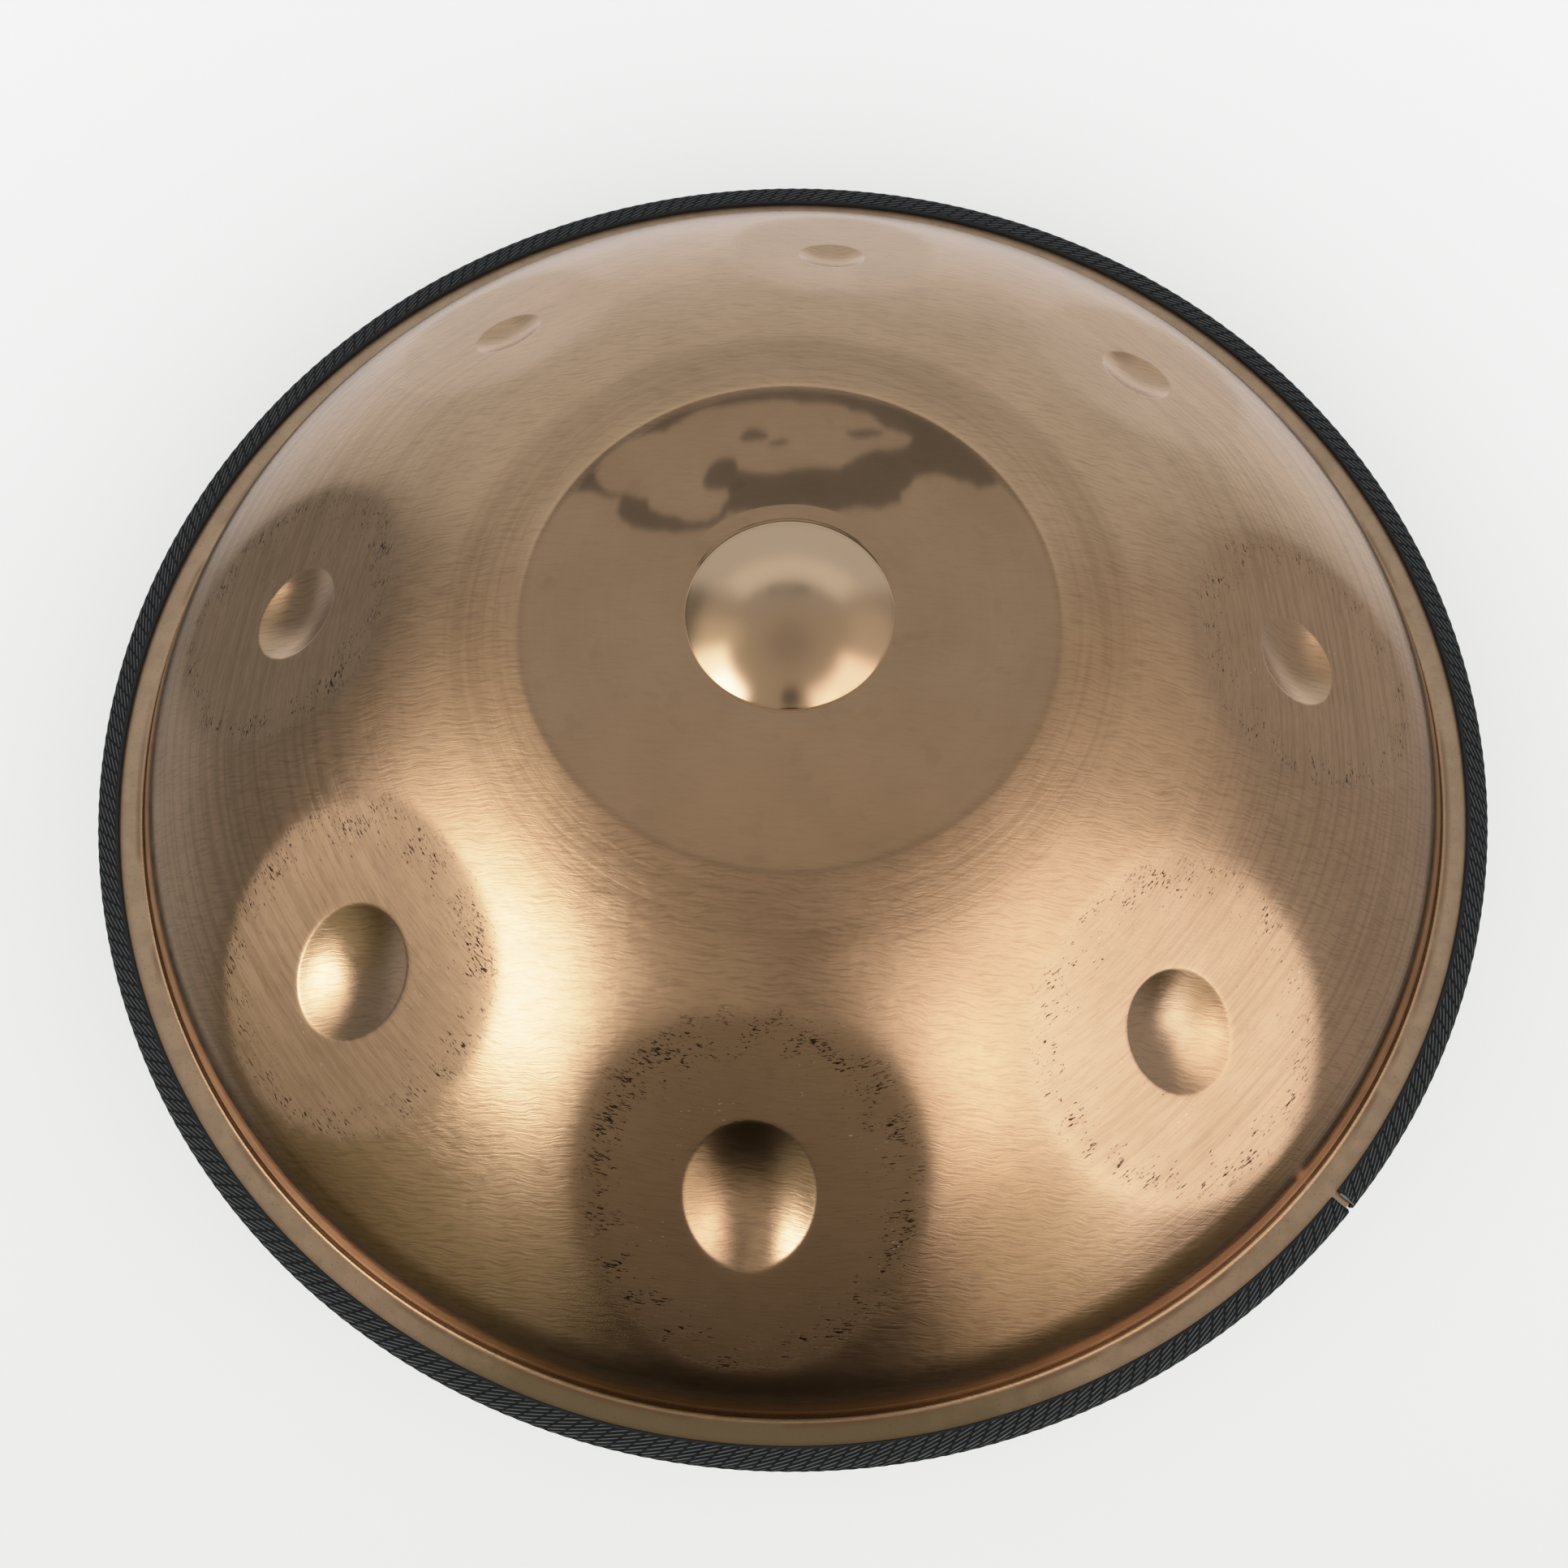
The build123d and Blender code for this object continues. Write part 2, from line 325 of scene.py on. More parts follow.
# ---- node trees --------------------------------------------------------------------------------
class Nodes:
    """Short calls for a shader's nodes. Each value is a socket or a plain number or colour.
    The Mix node has a pair of inputs for each kind of value: 2 and 3 for numbers, 4 and 5 for
    vectors, and 6 and 7 for colours."""

    def __init__(self, tree):
        self.tree = tree
        tree.nodes.clear()

    def put(self, socket, value):
        if isinstance(value, bpy.types.NodeSocket):
            self.tree.links.new(value, socket)
        elif value is not None:
            socket.default_value = value

    def add(self, kind, *values, **settings):
        node = self.tree.nodes.new("ShaderNode" + kind)
        for key, value in settings.items():
            setattr(node, key, value)
        for socket, value in zip(node.inputs, values):
            self.put(socket, value)
        return node

    def math(self, operation, *values):
        return self.add("Math", *values, operation=operation).outputs[0]

    def times(self, *values):
        """The product of all the values."""
        product = values[0]
        for value in values[1:]:
            product = self.math("MULTIPLY", product, value)
        return product

    def vector(self, operation, *values):
        node = self.add("VectorMath", *values, operation=operation)
        scalar = operation in ("LENGTH", "DOT_PRODUCT")
        return node.outputs["Value" if scalar else "Vector"]

    def scale(self, vector, factor):
        node = self.add("VectorMath", vector, operation="SCALE")
        self.put(node.inputs["Scale"], factor)
        return node.outputs["Vector"]

    def split(self, vector):
        return self.add("SeparateXYZ", vector).outputs

    def join(self, x, y, z):
        return self.add("CombineXYZ", x, y, z).outputs[0]

    def attribute(self, name, output="Fac"):
        return self.add("Attribute", attribute_name=name).outputs[output]

    def noise(self, vector, scale, detail=2.0, roughness=0.5):
        node = self.add("TexNoise")
        self.put(node.inputs["Vector"], vector)
        node.inputs["Scale"].default_value = scale
        node.inputs["Detail"].default_value = detail
        node.inputs["Roughness"].default_value = roughness
        return node.outputs["Fac"]

    def ramp(self, value, start, end, low=0.0, high=1.0):
        """Runs smoothly from low to high as value goes from start to end, and stays there."""
        values = (value, start, end, low, high)
        return self.add("MapRange", *values, interpolation_type="SMOOTHSTEP").outputs[0]

    def blend(self, share, low, high):
        """A number between low and high."""
        return self.add("Mix", share, None, low, high, data_type="FLOAT").outputs[0]

    def blend_vectors(self, share, low, high):
        node = self.add("Mix", share, data_type="VECTOR")
        self.put(node.inputs[4], low)
        self.put(node.inputs[5], high)
        return node.outputs[1]

    def tint(self, share, low, high):
        """A colour between low and high."""
        node = self.add("Mix", share, data_type="RGBA")
        self.put(node.inputs[6], low)
        self.put(node.inputs[7], high)
        return node.outputs[2]

    def surface(self, **inputs):
        """A Principled surface wired to the output."""
        shader = self.add("BsdfPrincipled")
        for key, value in inputs.items():
            self.put(shader.inputs[key.replace("_", " ")], value)
        output = self.add("OutputMaterial")
        self.tree.links.new(shader.outputs[0], output.inputs[0])


def new_material(name):
    material = bpy.data.materials.new(name)
    material.use_nodes = True
    return material, Nodes(material.node_tree)


def grey(level):
    return (level, level, level, 1.0)


# ---- materials ---------------------------------------------------------------------------------
bronze = (0.62, 0.40, 0.235, 1.0)       # the heat-treated steel seen face on
dark_bronze = (0.52, 0.33, 0.185, 1.0)
deep_brown = (0.20, 0.115, 0.055, 1.0)
polished_cream = (0.65, 0.44, 0.27, 1.0)
flange_light = (0.60, 0.42, 0.27, 1.0)
flange_dark = (0.53, 0.37, 0.24, 1.0)
flange_olive = (0.31, 0.225, 0.12, 1.0)
residue_brown = (0.26, 0.15, 0.085, 1.0)
pit_black = (0.045, 0.028, 0.015, 1.0)
glint_cream = (0.95, 0.85, 0.70, 1.0)
rubber_groove = (0.0025, 0.0027, 0.0027, 1.0)
# painted highlight on the weave's raised dashes
rubber_dash_highlight = (0.055, 0.061, 0.063, 1.0)
rubber_strip = (0.012, 0.013, 0.0135, 1.0)
glue_dark = (0.10, 0.05, 0.025, 1.0)
glue_light = (0.24, 0.15, 0.09, 1.0)


def in_millimetres(n):
    """A point's place on the piece, in millimetres."""
    return n.scale(n.add("TexCoord").outputs["Object"], 1 / MM)


def sheet_grain(n, x, y, place):
    """Rolling lines along x, some 12 mm long and 1 mm apart, swaying a little."""
    sway = n.math("SUBTRACT", n.noise(place, 0.07, 2.0), 0.5)
    swayed = n.math("MULTIPLY_ADD", sway, 6.0, y)
    return n.noise(n.join(n.times(x, 0.08), swayed, 0.0), 1.0, 4.0, 0.7)


def turned_lines(n, outward, run, per_radian, per_millimetre):
    """Lines that run round the axis, from how often they change along and across themselves."""
    turn_x, turn_y, _ = n.split(outward)
    place = n.join(
        n.times(turn_x, per_radian),
        n.times(turn_y, per_radian),
        n.times(run, per_millimetre),
    )
    return n.noise(place, 1.0, 3.0, 0.6)


def bump(n, height):
    """A bump from a height in millimetres."""
    node = n.add("Bump")
    node.inputs["Distance"].default_value = MM
    n.put(node.inputs["Height"], height)
    return node.outputs[0]


def foot_painted_shade(n, run, front):
    """Painted shade along the wall's foot and over the fillet, dimming the mirrored flange and the
    fillet's highlight; stronger at the front, with a barer line in it.
    """
    above_foot = n.math("SUBTRACT", shoulder_run, run)
    from_bare_line = n.math("ABSOLUTE", n.math("SUBTRACT", above_foot, 3.4))
    band = n.times(n.ramp(above_foot, 13.0, 3.5), n.ramp(above_foot, -3.0, -1.8))
    bare = n.ramp(from_bare_line, 0.1, 0.7, 0.3, 1.0)
    return n.times(band, bare, n.blend(front, 0.45, 0.9))


def dashes(n, outward, run, per_radian, per_millimetre, threshold):
    """Short dashes along the rim direction, where fine lines rise above a threshold."""
    lines = turned_lines(n, outward, run, per_radian, per_millimetre)
    return n.ramp(n.math("SUBTRACT", lines, threshold), 0.0, 0.03)


def pit_threshold(n, sheet, field_edge, pitting):
    """Lower, so that pits crowd, in patches along the border of a hammered field."""
    patches = n.noise(sheet, 0.10, 2.0)
    band = n.times(n.ramp(field_edge, 0.60, 0.90), n.ramp(field_edge, 1.04, 0.98))
    band = n.times(band, n.ramp(patches, 0.35, 0.6, 0.45, 1.0))
    crowd = n.math("MULTIPLY_ADD", band, 0.16, n.times(patches, 0.17))
    return n.math("SUBTRACT", 0.79, n.times(crowd, pitting))


def glint_threshold(n, sheet):
    """Lower, so that glints show, in a few clusters."""
    clusters = n.ramp(n.noise(sheet, 0.045, 1.0), 0.52, 0.66)
    return n.math("SUBTRACT", 0.81, n.times(clusters, 0.14))


def flange_steel(n, place, wobble, turn_y):
    """The flange's colour: cloudy bronze with brown specks, and olive at the very front."""
    cloud = n.ramp(n.noise(place, 0.12, 4.0), 0.35, 0.65)
    colour = n.tint(cloud, flange_light, flange_dark)
    olive = n.ramp(n.math("MULTIPLY_ADD", wobble, 0.1, turn_y), -0.86, -0.97)
    colour = n.tint(olive, colour, flange_olive)
    specks = n.ramp(n.noise(place, 0.9, 3.0), 0.60, 0.75)
    return n.tint(n.times(specks, 0.5), colour, deep_brown)


def top_steel():
    """Heat-treated steel: sheet grain along X, tone fields brushed along the rim and pitted."""
    material, n = new_material("top_steel")
    place = in_millimetres(n)
    x, y, _ = n.split(place)
    flat_place = n.join(x, y, 0.0)
    radius = n.vector("LENGTH", flat_place)
    outward = n.vector("NORMALIZE", flat_place)
    turn_x, turn_y, _ = n.split(outward)
    sheet = n.attribute("sheet", "Vector")
    sheet_x, sheet_y, _ = n.split(sheet)
    run = n.vector("LENGTH", sheet)
    field_ring = n.attribute("field_ring")
    dimple_ring = n.attribute("dimple_ring")
    pitting = n.attribute("pitting")

    # where each kind of surface is
    wobble = n.math("SUBTRACT", n.noise(sheet, 0.08, 3.0), 0.5)
    field_edge = n.math("MULTIPLY_ADD", wobble, 0.10, field_ring)
    field = n.ramp(field_edge, 1.06, 0.90)
    dimple = n.ramp(dimple_ring, 1.03, 0.95)
    matte = n.times(n.math("SUBTRACT", field, dimple), n.ramp(pitting, 0.1, 0.5))
    disc = n.ramp(radius, disc_radius + 2, disc_radius - 5)
    ding = n.ramp(radius, ding_radius + 0.5, ding_radius - 0.5)
    flange = n.ramp(radius, root_x - 0.6, root_x + 0.2)
    patchy = n.ramp(n.noise(place, 0.025, 5.0), 0.44, 0.58)
    residue = n.times(flange, n.ramp(radius, root_x + 2.4, root_x + 0.4), patchy)
    # painted shade at the wall's foot and over the fillet
    foot_shade = foot_painted_shade(n, run, n.ramp(turn_y, 0.2, -0.8))

    # lines: sheet grain, ring marks from pressing, and brushing on the fields
    grain = sheet_grain(n, sheet_x, sheet_y, sheet)
    rings = turned_lines(n, outward, run, 1.2, 0.42)
    brush = turned_lines(n, outward, run, 22.0, 1.5)
    lines = n.blend(matte, grain, brush)
    sides = n.ramp(n.math("ABSOLUTE", turn_x), 0.35, 0.85)
    walls = n.times(n.ramp(run, 130.0, 220.0), sides)
    collar = n.times(n.ramp(radius, 99.0, 105.0), n.ramp(radius, 135.0, 115.0), 0.65)
    ring_share = n.math("MULTIPLY_ADD", n.math("MAXIMUM", walls, collar), 0.9, 0.1)
    ring_share = n.times(ring_share, n.math("SUBTRACT", 1.0, dimple))

    # dashes on the fields: dark pits, crowded near a border, and bright glints
    pits = dashes(n, outward, run, 72.0, 1.5, pit_threshold(n, sheet, field_edge, pitting))
    pits = n.times(pits, matte)
    glints = dashes(n, outward, run, 80.0, 1.6, glint_threshold(n, sheet))
    glints = n.times(glints, matte)

    # colour
    cloud = n.ramp(n.noise(sheet, 0.03, 3.0), 0.3, 0.7)
    colour = n.tint(n.times(cloud, 0.5), bronze, dark_bronze)
    line_share = n.blend(matte, 0.28, n.math("MULTIPLY_ADD", pitting, 0.20, 0.04))
    line_share = n.times(line_share, n.blend(disc, 1.0, 0.25))
    colour = n.tint(n.times(n.ramp(lines, 0.54, 0.34), line_share), colour, deep_brown)
    colour = n.tint(n.times(n.ramp(lines, 0.58, 0.75), line_share), colour, polished_cream)
    ring_lines = n.times(n.ramp(rings, 0.56, 0.38), ring_share, 0.20)
    # a darker ring round the disc, more at the back
    collar_darkening = n.times(
        n.ramp(radius, 94.0, 98.0),
        n.ramp(radius, 130.0, 118.0),
        n.ramp(turn_y, -0.3, 0.7, 0.12, 0.30),
    )
    # painted shade on the fully hammered lowest field, where it mirrors the dark room in front
    painted_field_shade = n.times(matte, n.ramp(pitting, 0.92, 1.0, 0.0, 0.52))
    spots = n.times(n.ramp(n.noise(sheet, 0.07, 2.0), 0.60, 0.68), disc, 0.08)
    # ring marks, painted shade at the wall's foot, a darker ring round the disc, painted shade on
    # the lowest field, and stains on the disc
    for darkening in (ring_lines, foot_shade, collar_darkening, painted_field_shade, spots):
        colour = n.tint(darkening, colour, deep_brown)
    colour = n.tint(ding, colour, polished_cream)
    colour = n.tint(flange, colour, flange_steel(n, place, wobble, turn_y))
    colour = n.tint(n.times(residue, 0.6), colour, residue_brown)
    colour = n.tint(pits, colour, pit_black)
    colour = n.tint(n.times(glints, 0.8), colour, glint_cream)

    # roughness
    rough = n.blend(field, 0.24, 0.29)
    rough = n.math("MULTIPLY_ADD", n.math("SUBTRACT", lines, 0.5), 0.08, rough)
    for zone, own_roughness in ((dimple, 0.21), (disc, 0.035), (ding, 0.18), (flange, 0.40)):
        rough = n.blend(zone, rough, own_roughness)

    # relief, in millimetres
    fine = n.times(grain, n.ramp(turn_y, 0.7, -0.2, 0.03, 0.08))
    relief = n.math("MULTIPLY_ADD", rings, n.times(ring_share, 0.085), fine)
    field_relief = n.math("MULTIPLY_ADD", brush, 0.022, n.times(fine, 0.4))
    relief = n.blend(matte, relief, field_relief)
    relief = n.times(relief, n.blend(disc, 1.0, 0.008))
    relief = n.math("MULTIPLY_ADD", pits, -0.02, relief)

    # reflections spread across the lines: away from X on the sheet, outward on the fields
    across_grain = n.join(0.0, n.math("SIGN", turn_y), 0.0)
    n.surface(
        Base_Color=colour,
        Metallic=1.0,
        Roughness=rough,
        Anisotropic=0.5,
        Normal=bump(n, relief),
        Tangent=n.blend_vectors(matte, across_grain, outward),
    )
    return material


def bottom_steel():
    """The same steel below: grain along X, ring marks and a few darker clouds."""
    material, n = new_material("bottom_steel")
    place = in_millimetres(n)
    x, y, z = n.split(place)
    flat_place = n.join(x, y, 0.0)
    outward = n.vector("NORMALIZE", flat_place)
    grain = sheet_grain(n, x, n.math("ADD", y, z), place)
    depth = n.math("SUBTRACT", n.vector("LENGTH", flat_place), z)
    rings = turned_lines(n, outward, depth, 2.0, 0.22)
    cloud = n.noise(place, 0.03, 3.0)
    colour = n.tint(n.ramp(cloud, 0.3, 0.7), bronze, dark_bronze)
    colour = n.tint(n.times(n.ramp(grain, 0.56, 0.32), 0.16), colour, deep_brown)
    relief = n.math("MULTIPLY_ADD", rings, 0.05, n.times(grain, 0.035))
    n.surface(
        Base_Color=colour,
        Metallic=1.0,
        Roughness=n.math("MULTIPLY_ADD", n.math("SUBTRACT", grain, 0.5), 0.08, 0.26),
        Anisotropic=0.5,
        Normal=bump(n, relief),
        Tangent=n.join(0.0, 1.0, 0.0),
    )
    return material


def trim_rubber():
    """Black rubber embossed with slanting dashes in leaning groups, and a smooth inner strip."""
    material, n = new_material("trim_rubber")
    along = n.attribute("along")
    across = n.attribute("across")
    leaning = n.math("MULTIPLY_ADD", across, weave_lean, along)
    from_group_edge = n.math("PINGPONG", leaning, trim_group / 2)
    dash_lean = 0.30
    dash_spacing = 1.3
    slanting = n.math("MULTIPLY_ADD", along, dash_lean, across)
    dash = n.math("SINE", n.times(slanting, 2 * pi / dash_spacing))
    weave = n.times(n.ramp(dash, 0.1, 0.8), n.ramp(from_group_edge, 0.25, 0.9))
    weave = n.times(weave, n.ramp(across, smooth_strip + 0.4, smooth_strip + 1.4))
    strip = n.ramp(across, smooth_strip + 1.2, smooth_strip)
    dust = n.ramp(n.noise(in_millimetres(n), 0.9, 3.0), 0.62, 0.8)
    # the raised dashes painted lighter than the rubber between them: a painted highlight
    colour = n.tint(weave, rubber_groove, rubber_dash_highlight)
    colour = n.tint(strip, colour, rubber_strip)
    colour = n.tint(n.times(dust, 0.3), colour, grey(0.05))
    n.surface(
        Base_Color=colour,
        Roughness=n.blend(weave, 0.55, 0.34),
        Specular_IOR_Level=0.25,
        Normal=bump(n, n.times(weave, 0.22)),
    )
    return material


def glue():
    """Cured adhesive, brown and a little lumpy."""
    material, n = new_material("glue")
    lumps = n.noise(in_millimetres(n), 0.5, 3.0)
    n.surface(
        Base_Color=n.tint(lumps, glue_dark, glue_light),
        Roughness=n.ramp(lumps, 0.2, 0.8, 0.4, 0.7),
        Normal=bump(n, n.times(lumps, 0.2)),
    )
    return material


def spring_steel():
    """Plain steel with fine lines along the strip."""
    material, n = new_material("spring_steel")
    x, y, z = n.split(in_millimetres(n))
    lines = n.noise(n.join(x, y, n.times(z, 12.0)), 0.2, 3.0)
    n.surface(
        Base_Color=n.tint(lines, grey(0.42), grey(0.58)),
        Metallic=1.0,
        Roughness=n.ramp(lines, 0.2, 0.8, 0.25, 0.45),
        Normal=bump(n, n.times(lines, 0.02)),
    )
    return material


# ---- top shell ---------------------------------------------------------------------------------
shell_steps = 240                       # columns of a shell's net round the axis


def on_sheet(flat):
    """The flat points as vectors in the sheet's own plane."""
    return np.column_stack([flat, np.zeros(len(flat))])


def near_ding_edge(x, y, reach):
    return np.abs(np.hypot(x, y) - ding_radius) < reach


def in_dimples(x, y):
    return top_marks(x, y)["dimple_ring"] < 1.25


def needs_fine_net(x, y):
    """Across every tone field and its border, and about the ding's edge."""
    return (top_marks(x, y)["field_ring"] < 1.12) | near_ding_edge(x, y, 5)


def needs_finest_net(x, y):
    """On the edges of the dimples and the ding."""
    on_dimple_edge = np.abs(top_marks(x, y)["dimple_ring"] - 1) < 0.10
    return on_dimple_edge | near_ding_edge(x, y, 1.6)


def top_outer_face():
    """The outer face's points, normals, marks, triangles and rim."""
    runs = spread(
        3.0, 4.0, 34.0, 1.0, 41.0, 4.5, 90.0, 2.5, 108.0, 4.5, cap_run, 3.0, shoulder_run,
        0.6, fillet_run, 3.0, rim_run - 0.3, 0.3, rim_run,
    )
    net = flat_net(runs, shell_steps)
    for is_fine in (needs_fine_net, in_dimples, needs_finest_net):
        refine(net, is_fine)
    flat, faces, rim = net_arrays(net)
    normals = top_normals(*flat.T)
    normals[rim] += on_sheet(flat[rim]) / rim_run
    marks = top_marks(*flat.T)
    marks["sheet"] = on_sheet(flat)
    return top_surface(*flat.T), normals, marks, faces, rim


def top_inner_face():
    """The same for the inner face, one wall below the outer one and without any marks."""
    runs = spread(
        4.0, 8.0, 32.0, 2.0, 42.0, 9.0, 100.0, 7.0, cap_run, 5.0, shoulder_run,
        1.0, fillet_run, 7.0, rim_run,
    )
    net = flat_net(runs, shell_steps)
    refine(net, in_dimples)
    flat, faces, rim = net_arrays(net)
    normals = top_normals(*flat.T)
    points = top_surface(*flat.T) - wall * normals
    plain = np.full(len(flat), far_out)
    marks = {"field_ring": plain, "dimple_ring": plain, "pitting": 0 * plain}
    marks["sheet"] = on_sheet(flat)
    return points, -normals, marks, faces[:, ::-1], rim


def make_top_shell():
    """Both faces of the hammered sheet, joined round the rim."""
    outer, outer_normals, outer_marks, outer_faces, outer_rim = top_outer_face()
    inner, inner_normals, inner_marks, inner_faces, inner_rim = top_inner_face()
    count = len(outer)
    edge = []
    for k in range(shell_steps):
        after = (k + 1) % shell_steps
        below, below_after = count + inner_rim[k], count + inner_rim[after]
        edge.append((outer_rim[k], below, below_after, outer_rim[after]))
    faces = outer_faces.tolist() + (inner_faces + count).tolist() + edge
    points = np.concatenate([outer, inner])
    normals = np.concatenate([outer_normals, inner_normals])
    marks = {key: np.concatenate([outer_marks[key], inner_marks[key]]) for key in outer_marks}
    piece = new_piece("top_shell_hammered", points, faces, top_steel(), normals, marks)
    stand_for(piece, "top_shell")


# ---- bottom shell ------------------------------------------------------------------------------
def arc(centre_x, centre_z, radius, start, end, count):
    """Points of an arc in the section, from one angle to another."""
    angles = np.linspace(start, end, count)
    return [(centre_x + radius * cos(a), centre_z + radius * sin(a)) for a in angles]


def revolved(outline, steps):
    """Points and faces of a closed outline turned about the axis. It runs so that the piece
    lies to its left, seen with the radius to the right and height up."""
    turns = np.linspace(0, 2 * pi, steps, endpoint=False)
    points = [(r * cos(t), r * sin(t), z) for t in turns for r, z in outline]
    count = len(outline)
    faces = []
    for k in range(steps):
        here, there = k * count, (k + 1) % steps * count
        for j in range(count):
            after = (j + 1) % count
            faces.append((here + j, here + after, there + after, there + j))
    return points, faces


def make_bottom_shell():
    """The top's section without its marks, upside down, with a flat ring and the port."""
    runs = np.array(spread(
        disc_radius * 1.02, 3.0, 112.0, 7.0, cap_run, 4.0, shoulder_run,
        0.8, fillet_run, 5.0, rim_run - 0.3, 0.3, rim_run,
    ))
    rest = -rim_middle
    radius, height, slope = section(runs)
    outer = [(r, max(-h, rest)) for r, h in zip(radius, height)]
    inside = [
        (r - wall * sin(a), max(-(h - wall * cos(a)), rest + wall))
        for r, h, a in zip(radius, height, slope)
    ]
    mouth_radius = port_radius + port_roll
    roll_z = rest + port_roll
    lip_z = rest + neck_height
    lip = wall / 2
    ring = [(r, rest) for r in spread(disc_radius, 4.0, mouth_radius)[:-1]]
    ring_inside = [(r, rest + wall) for r in spread(mouth_radius, 4.0, disc_radius)[1:]]
    outline = (
        outer[::-1]
        + ring
        + arc(mouth_radius, roll_z, port_roll, 1.5 * pi, pi, 12)
        + arc(port_radius + lip, lip_z - lip, lip, pi, 0, 7)
        + arc(mouth_radius, roll_z, port_roll - wall, pi, 1.5 * pi, 10)
        + ring_inside
        + inside
    )
    bottom_steps = 288
    points, faces = revolved(outline, bottom_steps)
    piece = new_piece("bottom_shell_pressed", points, faces, bottom_steel())
    stand_for(piece, "bottom_shell")


# ---- edge trim ---------------------------------------------------------------------------------
def trim_outline():
    """The trim's section from its inner upper lip over the top and round to the lower lip,
    then through the slot, as (radius, height)."""
    inner = trim_radius - trim_width
    inner_round = 0.7
    outer_round = 1.9
    top = trim_top
    upper = [(inner, flange_face), (inner, (flange_face + top) / 2)]
    upper += arc(inner + inner_round, top - inner_round, inner_round, pi, pi / 2, 5)
    flat_radii = np.linspace(inner + inner_round, trim_radius - outer_round, 10)[1:-1]
    upper += [(r, top) for r in flat_radii]
    upper += arc(trim_radius - outer_round, top - outer_round, outer_round, pi / 2, 0, 7)
    upper += [(trim_radius, 1.0)]
    lower = [(r, -z) for r, z in upper[::-1]]
    slot = [(flange_radius, -flange_face), (flange_radius, flange_face)]
    return upper + lower + slot


def make_trim():
    """The trim's section swept round the rim, in columns, with a low wave under its weave."""
    outline = np.array(trim_outline())
    count = len(outline)

    # at each point of the section: the outward direction, and how far the nearer lip is
    steps = np.roll(outline, -1, 0) - np.roll(outline, 1, 0)
    out_r, out_z = -steps[:, 1], steps[:, 0]
    length = np.hypot(out_r, out_z)
    out_r, out_z = out_r / length, out_z / length
    gaps = np.hypot(*(outline - np.roll(outline, 1, 0)).T)
    gaps[0] = 0
    from_upper_lip = np.cumsum(gaps)
    lower_lip = count - 3
    across = np.minimum(from_upper_lip, from_upper_lip[lower_lip] - from_upper_lip)
    skin = (across > smooth_strip) & (np.arange(count) <= lower_lip)

    columns = 1240
    start = trim_gap / 2
    along = np.linspace(start, 2 * pi * trim_radius - start, columns)
    notch_middle = (flange_radius + trim_radius - trim_width) / 2
    notch = notch_depth * np.exp(-(((outline[:, 0] - notch_middle) / notch_width) ** 2))
    points = []
    for place in along:
        shift = notch * np.exp(-(place - start) / notch_reach)
        turn = trim_gap_angle + (place + shift) / trim_radius
        wave = np.sin(2 * pi * (place + weave_lean * across) / trim_group)
        rise = np.where(skin, weave_wave * wave - weave_sink, 0)
        r = outline[:, 0] + rise * out_r
        z = outline[:, 1] + rise * out_z
        points += list(zip(r * np.cos(turn), r * np.sin(turn), z))
    faces = []
    for k in range(columns - 1):
        here, there = k * count, (k + 1) * count
        for j in range(count):
            after = (j + 1) % count
            faces.append((here + j, there + j, there + after, here + after))
    last = (columns - 1) * count
    faces.append(tuple(range(count)))
    faces.append(tuple(last + j for j in reversed(range(count))))
    marks = {"along": np.repeat(along, count), "across": np.tile(across, columns)}
    piece = new_piece("edge_trim_woven", points, faces, trim_rubber(), marks=marks)
    stand_for(piece, "edge_trim")


def dress_node(node, material):
    """Gives a CAD node that keeps its own shape its material."""
    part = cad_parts[node]
    part.data.materials.clear()
    part.data.materials.append(material)


# ---- studio ------------------------------------------------------------------------------------
camera_side = radians(4.9)              # the camera stands this far round from -Y towards +X
camera_height = radians(66.46)          # above the table, seen from the rim's middle
camera_distance = 989.0
focal_length = 55.9
sensor_width = 36.0

# the aim is a hair off the rim's middle, by these turns in radians
camera_turn = 0.00315
camera_tilt = -0.00943
camera_roll = -0.01363


def make_camera():
    """Stands at the photograph's viewing angle."""
    back = Vector((0, -cos(camera_height), sin(camera_height)))
    up = Vector((0, sin(camera_height), cos(camera_height)))
    axes = Matrix((Vector((1, 0, 0)), up, back)).transposed()
    aim = Matrix.Rotation(camera_turn, 3, "Y") @ Matrix.Rotation(camera_tilt, 3, "X")
    roll = Matrix.Rotation(camera_roll, 3, "Z")
    around = Matrix.Rotation(camera_side, 3, "Z")
    data = bpy.data.cameras.new("camera")
    data.sensor_width = sensor_width
    data.lens = focal_length
    camera = bpy.data.objects.new("camera", data)
    bpy.context.scene.collection.objects.link(camera)
    place = around @ (back * camera_distance * MM) + Vector((0, 0, rim_middle * MM))
    camera.matrix_world = Matrix.Translation(place) @ (around @ axes @ aim @ roll).to_4x4()
    bpy.context.scene.camera = camera


def sky_panel(n, sky, total, azimuth, half_width, side_edge, top, bottom, end_edge, colour):
    """Lays a soft-edged panel over the sky. Angles are in degrees: azimuth from the camera's
    right hand, anticlockwise from above, and zenith down from straight overhead."""
    sky_azimuth, sky_zenith = sky
    offset = n.math("WRAP", n.math("SUBTRACT", sky_azimuth, azimuth), 180.0, -180.0)
    offset = n.math("ABSOLUTE", offset)
    mask = n.ramp(offset, half_width + side_edge, half_width - side_edge)
    mask = n.times(mask, n.ramp(sky_zenith, top - end_edge, top + end_edge))
    mask = n.times(mask, n.ramp(sky_zenith, bottom + end_edge, bottom - end_edge))
    return n.tint(mask, total, (*colour, 1.0))


